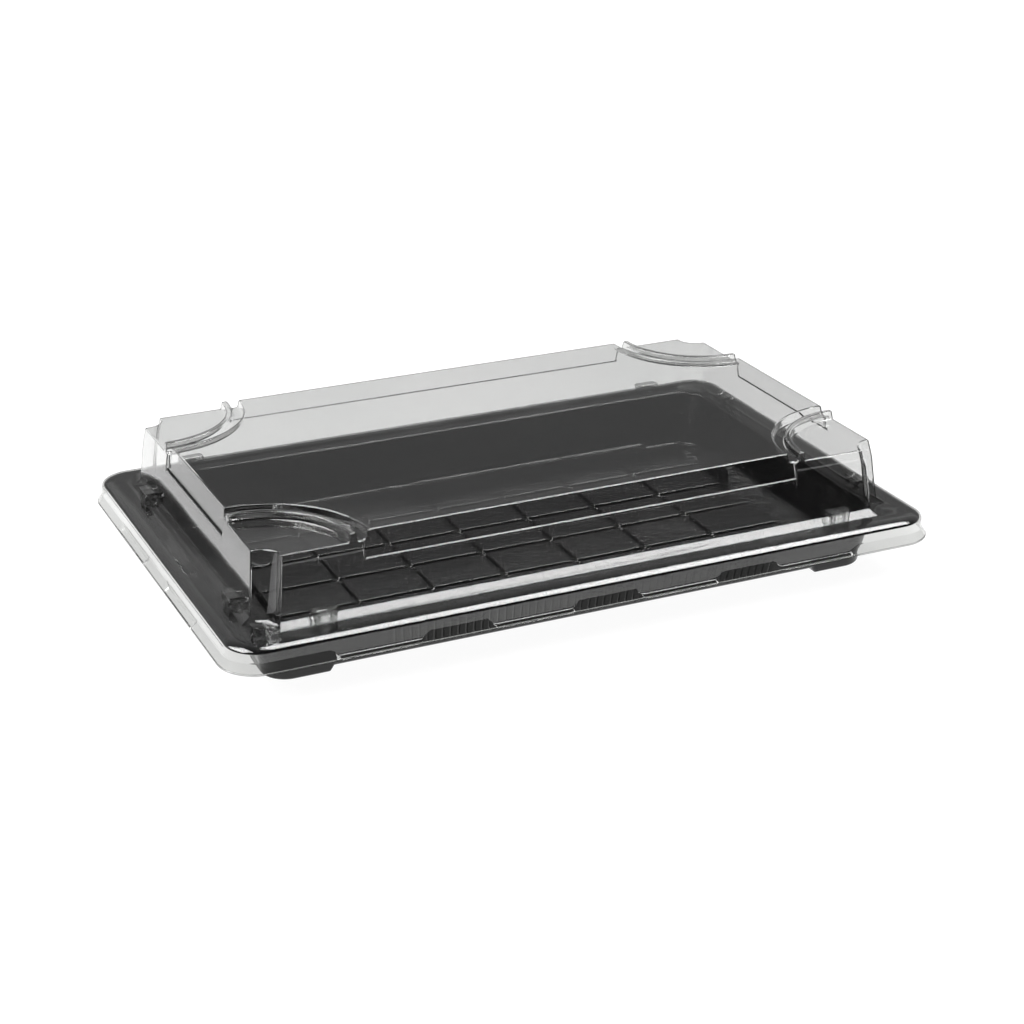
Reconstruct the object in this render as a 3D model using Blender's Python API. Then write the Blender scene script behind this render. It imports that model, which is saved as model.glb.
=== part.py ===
# A takeaway sushi tray: a shallow thermoformed base with a flat flange, and the clear lid
# snapped over it. Sizes are millimetres; MM turns them into metres as the meshes are made.
# Levels marked "above the edge" are measured from the base's trimmed flange edge, which
# stands EDGE_HEIGHT above the surface that the feet rest on.

import math

import bmesh
import bpy

MM = 0.001

# Base: the flange outline and the sheet it is formed from.
FLANGE_LENGTH = 215.0
FLANGE_WIDTH = 136.3
FLANGE_CORNER = 9.0
EDGE_HEIGHT = 16.7
BASE_SHEET = 0.5
FLANGE_TOP = 0.85        # above the edge
FLANGE_EDGE_DROP = 0.35  # how far the trimmed edge hangs below the edge level
FLANGE_ROLL = 3.2        # width over which the flange curls down to its edge
FLANGE_ROLL_RISE = 0.75

# Base: the well below the flange. Insets are measured inwards from the flange edge.
WELL_TOP_INSET = 9.4
WELL_FLOOR_INSET = 13.0
WELL_TOP_CORNER = 9.0
WELL_FLOOR_CORNER = 7.5
WELL_DEPTH = 15.0        # underside of the floor, below the edge
WELL_HEEL = 0.9          # chamfer where the wall meets the floor
FOOT_START_X = 76.0
FOOT_START_Y = 38.0
FOOT_SLOPE = 1.2
FOOT_TUCK = 0.05         # keeps the feet's walls off the well's own
FOOT_BURIED = 1.5        # how far the feet run up inside the well

# Base: the raised field of tiles on the floor.
TILE_LENGTH = 23.1
TILE_WIDTH = 17.2
TILE_COLUMNS = 7
FIELD_WIDTH = 74.0
FIELD_CORNER = 2.0
FIELD_TOP = 12.0         # below the edge
FIELD_SLOPE = 0.7
GROOVE_DEPTH = 1.0
GROOVE_TOP = 1.7
GROOVE_FLOOR = 0.8

# Lid: the sheet, the dome and the skirt that snaps over the flange.
LID_SHEET = 0.4
LID_FLANGE_TOP = 1.6     # above the edge
LID_WALL_INSET = 9.2
LID_FILLET = 2.0
SHOULDER_HEIGHT = 16.1
SHOULDER_INSET = 10.5
TOP_HEIGHT = 23.56
TOP_INSET_X = 12.27
TOP_INSET_Y = 13.24
BOSS_HEIGHT = 21.1
BOSS_INSET_X = 11.25
BOSS_INSET_Y = 11.95
CORNER_CUT_X = 5.2
CORNER_CUT_Y = 5.6
SCOOP_RADIUS = 5.6       # each upright corner of the dome is hollowed by a slanted cylinder
SCOOP_BACK_X = 0.75      # how far its axis stands inside the wall's corner
SCOOP_BACK_Y = 0.8
SCOOP_STEPS = 36
GROOVE_OUTER_RADIUS = 30.0
RIB_OUTER_RADIUS = 27.0
RIB_INNER_RADIUS = 24.5
ARC_STEPS = 14

SKIRT_OFFSET = 0.85      # outside the flange edge
SKIRT_ROLL = 4.0
LIP_OFFSET = 2.44
LIP_BOTTOM = 5.4         # below the edge
LIP_EDGE = 0.4
SNAP_TOP = 4.5           # where the lip starts along the straight snap lengths
FLARE_TOP = 2.7          # where it starts between them
SNAP_LENGTH = 22.5
SNAP_RAMP = 2.3
SNAP_CENTRES_LONG = (22.5, 67.5)
SNAP_CENTRES_SHORT = (23.0,)

# Lid: the small stacking lugs at the foot of its wall.
LUG_X = 80.0
LUG_Y = 40.0
LUG_BAR_WIDTH = 7.4
LUG_LEG_SPAN = 4.7
LUG_LEG_WIDTH = 1.4
LUG_DEPTH = 2.7
LUG_HEIGHT = 5.2
LUG_BAR_HEIGHT = 1.2
LUG_STEP = 0.15          # how far its legs stand back and bed in
LUG_BEDDED = 0.3         # how far its bar reaches into the lid's wall

CORNER_STEPS = 6
ROLL_STEPS = 4
ARC_SPARE = 12.0         # degrees that a corner arc runs past a quarter turn
SHARP_ANGLE = 35.0
CLEAR = 5.0              # how far a cutter runs past what it cuts
NEAR_CLEAR = 1.0         # the same, where something else is close
SIGNS = (-1, 1)
CORNERS = [(sx, sy) for sx in SIGNS for sy in SIGNS]


def rounded(inset, corner, level):
    """A rounded rectangle, inset from the flange edge, at a level above the edge."""
    half_x = FLANGE_LENGTH / 2 - inset
    half_y = FLANGE_WIDTH / 2 - inset
    return rectangle(half_x, half_y, corner, level)


def rectangle(half_x, half_y, corner, level):
    points = []
    for quarter, (sx, sy) in enumerate([(1, 1), (-1, 1), (-1, -1), (1, -1)]):
        for step in range(CORNER_STEPS + 1):
            angle = math.radians(90 * (quarter + step / CORNER_STEPS))
            x = sx * (half_x - corner) + corner * math.cos(angle)
            y = sy * (half_y - corner) + corner * math.sin(angle)
            points.append((x, y, level))
    return points


def cut_rectangle(inset_x, inset_y, level):
    """A rectangle with flat cut corners, as the lid's dome has before they are scooped."""
    x = FLANGE_LENGTH / 2 - inset_x
    y = FLANGE_WIDTH / 2 - inset_y
    cx = x - CORNER_CUT_X
    cy = y - CORNER_CUT_Y
    outline = [(x, cy), (cx, y), (-cx, y), (-x, cy), (-x, -cy), (-cx, -y), (cx, -y), (x, -cy)]
    return [(px, py, level) for px, py in outline]


def add_object(name, bm):
    bmesh.ops.recalc_face_normals(bm, faces=bm.faces)
    mesh = bpy.data.meshes.new(name)
    bm.to_mesh(mesh)
    bm.free()
    mesh.shade_smooth()
    mesh.set_sharp_from_angle(angle=math.radians(SHARP_ANGLE))
    part = bpy.data.objects.new(name, mesh)
    bpy.context.scene.collection.objects.link(part)
    return part


def add_stack(bm, rings):
    """Bridges a stack of equal rings, each a list of points, into one closed body."""
    loops = []
    for ring in rings:
        verts = [bm.verts.new((x * MM, y * MM, (z + EDGE_HEIGHT) * MM)) for x, y, z in ring]
        loops.append([bm.edges.new((a, b)) for a, b in zip(verts, verts[1:] + verts[:1])])
    for lower, upper in zip(loops, loops[1:]):
        bmesh.ops.bridge_loops(bm, edges=lower + upper)
    bmesh.ops.holes_fill(bm, edges=loops[0] + loops[-1], sides=0)


def stack(name, rings):
    bm = bmesh.new()
    add_stack(bm, rings)
    return add_object(name, bm)


def stacks(name, bodies):
    bm = bmesh.new()
    for rings in bodies:
        add_stack(bm, rings)
    return add_object(name, bm)


def box_rings(x0, x1, y0, y1, low, high, slope=0.0):
    """Two rectangles; the upper one is larger by the slope on every side."""
    rings = []
    for level, grow in ((low, 0.0), (high, slope)):
        xs = (x0 - grow, x1 + grow)
        ys = (y0 - grow, y1 + grow)
        rings.append([(xs[0], ys[0], level), (xs[1], ys[0], level),
                      (xs[1], ys[1], level), (xs[0], ys[1], level)])
    return rings


def combine(part, other, operation):
    boolean = part.modifiers.new(operation.lower(), "BOOLEAN")
    boolean.operation = operation
    boolean.solver = "EXACT"
    boolean.object = other
    other.hide_render = True
    other.display_type = "WIRE"


def roll(edge_inset, edge_level, width, rise):
    """Insets and levels of a quarter ellipse from a vertical edge up to a flat top."""
    turns = [math.radians(90 * step / ROLL_STEPS) for step in range(ROLL_STEPS + 1)]
    return [(edge_inset + width * (1 - math.cos(turn)), edge_level + rise * math.sin(turn))
            for turn in turns]


# ---- Base tray -------------------------------------------------------------------------

def flange_solid(name, sheet):
    """The space under the flange's top face, or with a sheet, under its lower face."""
    low = -FLANGE_EDGE_DROP - (CLEAR if sheet else 0.0)
    start = FLANGE_TOP - FLANGE_ROLL_RISE
    profile = [(sheet, low)]
    profile += roll(sheet, start - sheet / 2, FLANGE_ROLL - sheet, FLANGE_ROLL_RISE - sheet / 2)
    return stack(name, [rounded(inset, FLANGE_CORNER - inset / 2, z) for inset, z in profile])


def well_ring(depth, sheet, heel=0.0):
    """The well's outline at a depth, following the wall's draft."""
    share = depth / WELL_DEPTH
    inset = WELL_TOP_INSET + (WELL_FLOOR_INSET - WELL_TOP_INSET) * share + sheet + heel
    corner = WELL_TOP_CORNER + (WELL_FLOOR_CORNER - WELL_TOP_CORNER) * share - sheet - heel / 2
    return rounded(inset, corner, -depth)


def well_solid(name, floor, sheet, top, tuck=0.0):
    """The well down to a floor; a tuck draws its walls in a little."""
    floor_depth = floor - sheet
    inset = sheet + tuck
    return stack(name, [
        well_ring(floor_depth, inset, WELL_HEEL),
        well_ring(floor_depth - WELL_HEEL, inset),
        well_ring(-top, inset),
    ])


def foot_pads(name, sheet):
    """One block at each corner; the feet are the part of the deeper well inside them."""
    bodies = []
    for sx, sy in CORNERS:
        xs = sorted((sx * (FOOT_START_X + FOOT_SLOPE + sheet), sx * FLANGE_LENGTH / 2))
        ys = sorted((sy * (FOOT_START_Y + FOOT_SLOPE + sheet), sy * FLANGE_WIDTH / 2))
        bodies.append(box_rings(*xs, *ys, -EDGE_HEIGHT - NEAR_CLEAR, FOOT_BURIED - WELL_DEPTH,
                                FOOT_SLOPE))
    return stacks(name, bodies)


def groove_bars(name, sheet, along_x):
    """The grooves between the tiles, all those of one direction."""
    field_x = TILE_LENGTH * TILE_COLUMNS / 2
    low = -FIELD_TOP - GROOVE_DEPTH - sheet
    high = -FIELD_TOP + NEAR_CLEAR
    floor_half = GROOVE_FLOOR / 2 + sheet
    side = (GROOVE_TOP - GROOVE_FLOOR) / 2 / GROOVE_DEPTH
    top_half = floor_half + side * (high - low)
    count = 4 if along_x else TILE_COLUMNS - 1
    pitch = TILE_WIDTH if along_x else TILE_LENGTH
    reach = (field_x if along_x else FIELD_WIDTH / 2) + CLEAR
    bodies = []
    for index in range(count):
        centre = (index - (count - 1) / 2) * pitch
        rings = []
        for level, half in ((low, floor_half), (high, top_half)):
            if along_x:
                rings.append([(-reach, centre - half, level), (reach, centre - half, level),
                              (reach, centre + half, level), (-reach, centre + half, level)])
            else:
                rings.append([(centre - half, -reach, level), (centre + half, -reach, level),
                              (centre + half, reach, level), (centre - half, reach, level)])
        bodies.append(rings)
    return stacks(name, bodies)


def tile_field(name, sheet, low):
    """The raised field with its grooves, or with a sheet, the hollow under it."""
    half_x = TILE_LENGTH * TILE_COLUMNS / 2 - sheet
    half_y = FIELD_WIDTH / 2 - sheet
    top = -FIELD_TOP - sheet
    spread = FIELD_SLOPE * (top - low) / (WELL_DEPTH - FIELD_TOP)
    field = stack(name, [
        rectangle(half_x + spread, half_y + spread, FIELD_CORNER, low),
        rectangle(half_x, half_y, FIELD_CORNER, top),
    ])
    combine(field, groove_bars(name + "_grooves_x", sheet, True), "DIFFERENCE")
    combine(field, groove_bars(name + "_grooves_y", sheet, False), "DIFFERENCE")
    return field


def base_tray():
    tray = flange_solid("base_tray", 0.0)
    combine(tray, flange_solid("flange_underside", BASE_SHEET), "DIFFERENCE")

    body = well_solid("well_outside", WELL_DEPTH, 0.0, FLANGE_TOP - BASE_SHEET / 2)
    foot_top = FOOT_BURIED + BASE_SHEET - WELL_DEPTH
    feet = well_solid("feet_outside", EDGE_HEIGHT, 0.0, foot_top, FOOT_TUCK)
    combine(feet, foot_pads("foot_pads", 0.0), "INTERSECT")
    combine(body, feet, "UNION")
    hollow = tile_field("field_hollow", BASE_SHEET, -WELL_DEPTH - NEAR_CLEAR)
    combine(body, hollow, "DIFFERENCE")
    combine(tray, body, "UNION")

    cavity = well_solid("well_inside", WELL_DEPTH, BASE_SHEET, CLEAR)
    pockets = well_solid("feet_inside", EDGE_HEIGHT, BASE_SHEET, foot_top, FOOT_TUCK)
    combine(pockets, foot_pads("foot_pockets", BASE_SHEET), "INTERSECT")
    combine(cavity, pockets, "UNION")
    combine(cavity, tile_field("tile_field", 0.0, -WELL_DEPTH), "DIFFERENCE")
    combine(tray, cavity, "DIFFERENCE")
    return tray


# ---- Lid -------------------------------------------------------------------------------

def snap_share(along, centres):
    """0 where the lip starts high, 1 along a snap length, between them on its ramps."""
    gap = min(abs(abs(along) - centre) for centre in centres) - SNAP_LENGTH / 2
    return min(1.0, max(0.0, 1.0 - gap / SNAP_RAMP))


def side_stations(centres):
    """Places along a side where a snap length or its ramp starts or ends."""
    reach = (SNAP_LENGTH / 2, SNAP_LENGTH / 2 + SNAP_RAMP)
    places = [side * centre + way * step
              for centre in centres for side in SIGNS for way in SIGNS for step in reach]
    return sorted(places)


def skirt_stations():
    """Centre, outward direction and snap share of each point round the flange's outline."""
    half_x = FLANGE_LENGTH / 2 - FLANGE_CORNER
    half_y = FLANGE_WIDTH / 2 - FLANGE_CORNER
    stations = []
    for quarter, (sx, sy) in enumerate([(1, 1), (-1, 1), (-1, -1), (1, -1)]):
        for step in range(CORNER_STEPS + 1):
            angle = math.radians(90 * (quarter + step / CORNER_STEPS))
            stations.append((sx * half_x, sy * half_y, math.cos(angle), math.sin(angle), 0.0))
        turn = math.radians(90 * (quarter + 1))
        way = (round(math.cos(turn)), round(math.sin(turn)))
        centres = SNAP_CENTRES_LONG if way[1] else SNAP_CENTRES_SHORT
        for place in side_stations(centres):
            share = snap_share(place, centres)
            if way[1]:
                stations.append((-way[1] * place, way[1] * half_y, *way, share))
            else:
                stations.append((way[0] * half_x, way[0] * place, *way, share))
    return stations


def skirt_ring(inset, level, snap_level=None):
    """One ring of the skirt; the snap lengths may have a level of their own."""
    lower = level if snap_level is None else snap_level
    reach = FLANGE_CORNER - inset
    return [(x + reach * u, y + reach * v, level + (lower - level) * share)
            for x, y, u, v, share in skirt_stations()]


def skirt_solid(name, sheet):
    """The flange and skirt of the lid, turning out to a lip at its foot."""
    wall = -SKIRT_OFFSET + sheet
    if sheet:
        lip_end = sheet / 2 - LIP_OFFSET
        foot = [skirt_ring(lip_end, -LIP_BOTTOM - CLEAR),
                skirt_ring(lip_end, LIP_EDGE - LIP_BOTTOM - sheet / 2)]
    else:
        foot = [skirt_ring(-LIP_OFFSET, -LIP_BOTTOM),
                skirt_ring(-LIP_OFFSET, LIP_EDGE - LIP_BOTTOM)]
    start = skirt_ring(wall, -FLARE_TOP - sheet / 2, -SNAP_TOP - sheet / 2)
    top = [skirt_ring(inset, level)
           for inset, level in roll(wall, 0.0, SKIRT_ROLL - sheet, LID_FLANGE_TOP - sheet)]
    return stack(name, foot + [start] + top)


def dome_wall(name, sheet, levels):
    """The lid's wall: a fillet at its foot, then straight lines between (inset, level)."""
    foot_centre = LID_WALL_INSET - LID_FILLET
    centre_level = LID_FLANGE_TOP + LID_FILLET
    radius = LID_FILLET + sheet
    rings = [cut_rectangle(foot_centre, foot_centre, LID_FLANGE_TOP - sheet - LID_SHEET)]
    for step in range(ROLL_STEPS, -1, -1):
        turn = math.radians(90 * step / ROLL_STEPS)
        inset = foot_centre + radius * math.cos(turn)
        rings.append(cut_rectangle(inset, inset, centre_level - radius * math.sin(turn)))
    for inset_x, inset_y, level in levels:
        rings.append(cut_rectangle(inset_x + sheet, inset_y + sheet, level - sheet / 2))
    last_x, last_y, last_level = levels[-1]
    rings[-1] = cut_rectangle(last_x + sheet, last_y + sheet, last_level - sheet)
    return stack(name, rings)


def main_levels():
    return [(SHOULDER_INSET, SHOULDER_INSET, SHOULDER_HEIGHT),
            (TOP_INSET_X, TOP_INSET_Y, TOP_HEIGHT)]


def corner_arcs(name, inner, outer, low, high):
    """Quarter rings, or quarter discs without an inner radius, about the top's corners."""
    centre_x = FLANGE_LENGTH / 2 - TOP_INSET_X
    centre_y = FLANGE_WIDTH / 2 - TOP_INSET_Y
    spare = math.radians(ARC_SPARE)
    bodies = []
    for sx, sy in CORNERS:
        turns = [-spare + (math.pi / 2 + 2 * spare) * step / ARC_STEPS
                 for step in range(ARC_STEPS + 1)]
        arc = [(math.cos(turn), math.sin(turn)) for turn in turns]
        outline = [(outer * u, outer * v) for u, v in arc]
        if inner:
            outline += [(inner * u, inner * v) for u, v in reversed(arc)]
        else:
            outline.append((-outer, -outer))
        bodies.append([[(sx * (centre_x - u), sy * (centre_y - v), level) for u, v in outline]
                       for level in (low, high)])
    return stacks(name, bodies)


def scoops(name, sheet):
    """Slanted cylinders by the dome's upright corners, running past it at both ends."""
    levels = (LID_FLANGE_TOP - sheet - LID_SHEET - NEAR_CLEAR, TOP_HEIGHT + CLEAR)
    foot_level = LID_FLANGE_TOP + LID_FILLET
    radius = SCOOP_RADIUS + sheet
    bodies = []
    for sx, sy in CORNERS:
        rings = []
        for level in levels:
            share = (level - foot_level) / (BOSS_HEIGHT - foot_level)
            inset_x = LID_WALL_INSET + (BOSS_INSET_X - LID_WALL_INSET) * share
            inset_y = LID_WALL_INSET + (BOSS_INSET_Y - LID_WALL_INSET) * share
            x = FLANGE_LENGTH / 2 - inset_x - SCOOP_BACK_X
            y = FLANGE_WIDTH / 2 - inset_y - SCOOP_BACK_Y
            turns = [math.tau * (step + 0.5) / SCOOP_STEPS for step in range(SCOOP_STEPS)]
            rings.append([(sx * (x + radius * math.cos(turn)), sy * (y + radius * math.sin(turn)),
                           level) for turn in turns])
        bodies.append(rings)
    return stacks(name, bodies)


def dome(name, sheet):
    """The corner bosses, the higher panel between them, and the rib round each boss."""
    bosses = dome_wall(name, sheet, [(BOSS_INSET_X, BOSS_INSET_Y, BOSS_HEIGHT)])

    panel = dome_wall(name + "_panel", sheet, main_levels())
    low = LID_FLANGE_TOP + LID_FILLET
    high = TOP_HEIGHT + CLEAR
    groove = corner_arcs(name + "_corners", 0.0, GROOVE_OUTER_RADIUS + sheet, low, high)
    combine(panel, groove, "DIFFERENCE")
    combine(bosses, panel, "UNION")

    ribs = dome_wall(name + "_ribs", sheet, main_levels())
    rib_low = BOSS_HEIGHT - sheet - LID_SHEET
    rings = corner_arcs(name + "_rings", RIB_INNER_RADIUS + sheet, RIB_OUTER_RADIUS - sheet,
                        rib_low, high)
    combine(ribs, rings, "INTERSECT")
    combine(bosses, ribs, "UNION")
    combine(bosses, scoops(name + "_scoops", sheet), "DIFFERENCE")
    return bosses


def lid_solid(name, sheet):
    skirt = skirt_solid(name, sheet)
    combine(skirt, dome(name + "_dome", sheet), "UNION")
    return skirt


def stacking_lugs():
    """Small T-shaped lugs, two by each corner, on the flange against the wall."""
    bar_low = LUG_HEIGHT - LUG_BAR_HEIGHT
    leg = (LUG_LEG_SPAN - LUG_LEG_WIDTH) / 2
    bodies = []
    for sx, sy in CORNERS:
        for along_x in (True, False):
            place = LUG_X if along_x else LUG_Y
            wall = (FLANGE_WIDTH if along_x else FLANGE_LENGTH) / 2 - LID_WALL_INSET
            pieces = [(0.0, LUG_BAR_WIDTH, -LUG_BEDDED, LUG_DEPTH, bar_low, LUG_HEIGHT)]
            for side in SIGNS:
                pieces.append((side * leg, LUG_LEG_WIDTH, LID_FILLET / 2, LUG_DEPTH - LUG_STEP,
                               LID_FLANGE_TOP - LUG_STEP, bar_low + LUG_STEP))
            for middle, width, near, far, low, high in pieces:
                centre = place + middle
                along = (centre - width / 2, centre + width / 2)
                across = (wall + near, wall + far)
                spans = (along, across) if along_x else (across, along)
                xs = sorted(sx * x for x in spans[0])
                ys = sorted(sy * y for y in spans[1])
                bodies.append(box_rings(*xs, *ys, low, high))
    return bodies


def lid():
    cover = lid_solid("lid", 0.0)
    combine(cover, lid_solid("lid_inside", LID_SHEET), "DIFFERENCE")
    bodies = stacking_lugs()
    for first in range(3):
        lugs = stacks("lugs_" + str(first), bodies[first::3])
        combine(cover, lugs, "UNION")
    return cover


def plastic(name, colour, roughness, alpha):
    material = bpy.data.materials.new(name)
    material.use_nodes = True
    shader = material.node_tree.nodes["Principled BSDF"]
    shader.inputs["Base Color"].default_value = (*colour, 1.0)
    shader.inputs["Roughness"].default_value = roughness
    shader.inputs["Metallic"].default_value = 0.0
    shader.inputs["Alpha"].default_value = alpha
    return material


def main():
    for old in list(bpy.data.objects):
        bpy.data.objects.remove(old)
    base_tray().data.materials.append(plastic("black_plastic", (0.012, 0.012, 0.012), 0.16, 1.0))
    lid().data.materials.append(plastic("clear_plastic", (0.9, 0.91, 0.91), 0.05, 0.3))


main()
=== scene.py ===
import math

import bmesh
import bpy
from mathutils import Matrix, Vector


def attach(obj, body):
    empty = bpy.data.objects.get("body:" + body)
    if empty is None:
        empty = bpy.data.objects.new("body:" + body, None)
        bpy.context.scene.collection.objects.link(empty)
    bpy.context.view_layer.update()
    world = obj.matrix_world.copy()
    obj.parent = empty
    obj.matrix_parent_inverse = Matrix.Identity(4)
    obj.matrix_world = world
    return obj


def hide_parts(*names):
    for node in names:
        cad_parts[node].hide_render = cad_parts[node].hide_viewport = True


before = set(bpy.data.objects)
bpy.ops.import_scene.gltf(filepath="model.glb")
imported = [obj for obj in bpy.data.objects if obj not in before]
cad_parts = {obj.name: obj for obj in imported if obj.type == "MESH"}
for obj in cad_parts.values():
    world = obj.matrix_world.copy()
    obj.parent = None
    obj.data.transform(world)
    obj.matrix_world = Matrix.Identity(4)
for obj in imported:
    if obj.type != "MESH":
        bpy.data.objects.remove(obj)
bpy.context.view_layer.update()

milli = 0.001
footLevel = 16.7  # how far the flange edge stands above the feet, in mm
nearly = 0.004    # a point this near a line counts as on it, in mm

# The pieces are modelled in millimetres with the flange edge at zero. When finished,
# they are brought to metres with the feet at zero.


def report(label):
    bm = bmesh.from_edit_mesh(bpy.context.edit_object.data)
    big = sorted(((round(f.calc_area(), 1), len(f.verts), round(f.calc_center_median().z, 2)) for f in bm.faces), reverse=True)[:3]
    print(label, len(bm.verts), len(bm.faces), "open", sum(isOpen(e) for e in bm.edges), "multi", sum(len(e.link_faces) > 2 for e in bm.edges), big)


def showPick(bm):
    bm.select_flush_mode()
    bmesh.update_edit_mesh(bpy.context.edit_object.data)


def pickMesh(kind):
    bpy.ops.mesh.select_mode(type=kind)
    bpy.ops.mesh.select_all(action="DESELECT")
    return bmesh.from_edit_mesh(bpy.context.edit_object.data)


def pickVerts(test):
    bm = pickMesh("VERT")
    for vert in bm.verts:
        vert.select = bool(test(vert.co))
    showPick(bm)


def pickEdges(test):
    bm = pickMesh("EDGE")
    chosen = [edge for edge in bm.edges if test(edge)]
    for edge in chosen:
        edge.select = True
    showPick(bm)
    return len(chosen)


def pickFaces(test):
    bm = pickMesh("FACE")
    chosen = [face for face in bm.faces if test(face)]
    for face in chosen:
        face.select = True
    showPick(bm)
    return len(chosen)


def ends(edge):
    return edge.verts[0].co, edge.verts[1].co


def isOpen(edge):
    return len(edge.link_faces) < 2


def turnOf(edge):
    return edge.calc_face_angle(0.0)


def move(x=0.0, y=0.0, z=0.0):
    bpy.ops.transform.translate(value=(x, y, z))


def shiftPicked(test, x=0.0, y=0.0, z=0.0):
    pickVerts(test)
    move(x, y, z)


def startPiece(name):
    bpy.ops.object.select_all(action="DESELECT")
    bpy.ops.mesh.primitive_plane_add(size=2, location=(0, 0, 0))
    piece = bpy.context.object
    piece.name = name
    bpy.ops.object.mode_set(mode="EDIT")
    bpy.ops.mesh.delete(type="VERT")
    return piece


# joins points that a bevel or a cut left on top of each other
def weld(distance=0.004):
    bpy.ops.mesh.select_mode(type="VERT")
    bpy.ops.mesh.select_all(action="SELECT")
    bpy.ops.mesh.remove_doubles(threshold=distance)
    bpy.ops.mesh.dissolve_degenerate(threshold=distance / 2)


def endEdit():
    bpy.ops.object.mode_set(mode="OBJECT")


def soloPick(piece):
    bpy.ops.object.select_all(action="DESELECT")
    piece.select_set(True)
    bpy.context.view_layer.objects.active = piece


def joinPieces(main, others):
    soloPick(main)
    for other in others:
        other.select_set(True)
    bpy.ops.object.join()


def applyModifier(piece, kind, **settings):
    soloPick(piece)
    modifier = piece.modifiers.new(kind.title(), kind)
    for key, value in settings.items():
        setattr(modifier, key, value)
    bpy.ops.object.modifier_apply(modifier=modifier.name)


# keeps the flats flat next to their rounded edges
def finishNormals(piece):
    soloPick(piece)
    bpy.ops.object.shade_smooth_by_angle(angle=math.radians(38))
    applyModifier(piece, "WEIGHTED_NORMAL", mode="FACE_AREA", keep_sharp=True)


def toMetres(piece):
    soloPick(piece)
    bpy.ops.object.mode_set(mode="EDIT")
    bpy.ops.mesh.select_all(action="SELECT")
    move(z=footLevel)
    bpy.ops.transform.resize(value=(milli, milli, milli), center_override=(0, 0, 0))
    endEdit()


# A ring is (half length, half width, corner radius, level).
def onRing(co, ring):
    halfX, halfY, corner, level = ring
    if abs(co.z - level) > nearly:
        return False
    pastX = abs(co.x) - (halfX - corner)
    pastY = abs(co.y) - (halfY - corner)
    if pastX > 0 and pastY > 0:
        return abs(math.hypot(pastX, pastY) - corner) < nearly
    return abs(max(pastX, pastY) - corner) < nearly


def straightCells(ring, axis):
    def test(edge):
        first, second = ends(edge)
        return (onRing(first, ring) and onRing(second, ring)
                and abs(first[axis] - second[axis]) < nearly
                and isOpen(edge))
    return test


# cuts is corner segments, cells of the long side, cells of the short side, cells in each cell
def addRing(ring, cuts):
    halfX, halfY, corner, level = ring
    cornerCuts, longCells, shortCells, fineCells = cuts
    bpy.ops.mesh.select_all(action="DESELECT")
    bpy.ops.mesh.select_mode(type="VERT")
    bpy.ops.mesh.primitive_plane_add(size=2, location=(0, 0, level))
    bpy.ops.transform.resize(value=(halfX, halfY, 1), center_override=(0, 0, level))
    bpy.ops.mesh.bevel(offset=corner, segments=cornerCuts, affect="VERTICES")
    bpy.ops.mesh.delete(type="ONLY_FACE")
    for axis, cells in ((1, longCells), (0, shortCells)):
        for number in (cells - 1, fineCells - 1):
            if number:
                pickEdges(straightCells(ring, axis))
                bpy.ops.mesh.subdivide(number_cuts=number)


def loftRings(rings, cuts):
    for ring in rings:
        addRing(ring, cuts)
    for lower, upper in zip(rings, rings[1:]):
        pickEdges(lambda edge: isOpen(edge) and (
            all(onRing(co, lower) for co in ends(edge))
            or all(onRing(co, upper) for co in ends(edge))))
        bpy.ops.mesh.bridge_edge_loops()


# rounds the bends of a profile; a point is (inset, level, plan corner, bend radius)
def softProfile(points, steps):
    soft = []
    for index, (inset, level, corner, radius) in enumerate(points):
        if not radius:
            soft.append((inset, level, corner))
            continue
        here = Vector((inset, level))
        before = Vector(points[index - 1][:2])
        after = Vector(points[index + 1][:2])
        wayIn = (before - here).normalized()
        wayOut = (after - here).normalized()
        half = wayIn.angle(wayOut) / 2
        reach = radius / math.tan(half)
        centre = here + (wayIn + wayOut).normalized() * radius / math.sin(half)
        first = (here + wayIn * reach - centre).normalized()
        last = (here + wayOut * reach - centre).normalized()
        cornerIn = corner + (points[index - 1][2] - corner) * reach / (before - here).length
        cornerOut = corner + (points[index + 1][2] - corner) * reach / (after - here).length
        for step in range(steps + 1):
            share = step / steps
            spot = centre + first.slerp(last, share) * radius
            soft.append((spot.x, spot.y, cornerIn + (cornerOut - cornerIn) * share))
    return soft


def flangeRing(inset, level, corner):
    return (107.5 - inset, 68.15 - inset, corner, level)


# base tray

trayValues = {
    "sheet": 0.5,
    "edgeLevel": -0.35,
    "rollStart": 0.1,
    "rollWidth": 3.2,
    "rollRise": 0.75,
    "rollSteps": 5,
    "flangeCorner": 9.0,
    "rimInset": 9.7,
    "rimCorner": 8.6,
    "rimRadius": 1.1,
    "floorInset": 13.38,
    "floorCorner": 7.0,
    "floorLevel": -14.5,
    "heelRadius": 1.2,
    "bendSteps": 6,
    "cuts": (24, 74, 41, 4),
    "wallRows": 30,
    "fluteTop": -3.3,
    "fluteFoot": -13.2,
    "fluteDepth": 0.7,
    "fluteReachX": 61.2,
    "fluteReachY": 29.4,
    "footStartX": 76.0,
    "footStartY": 38.0,
    "footSlope": 1.2,
    "footDrop": 1.7,
}


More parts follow.
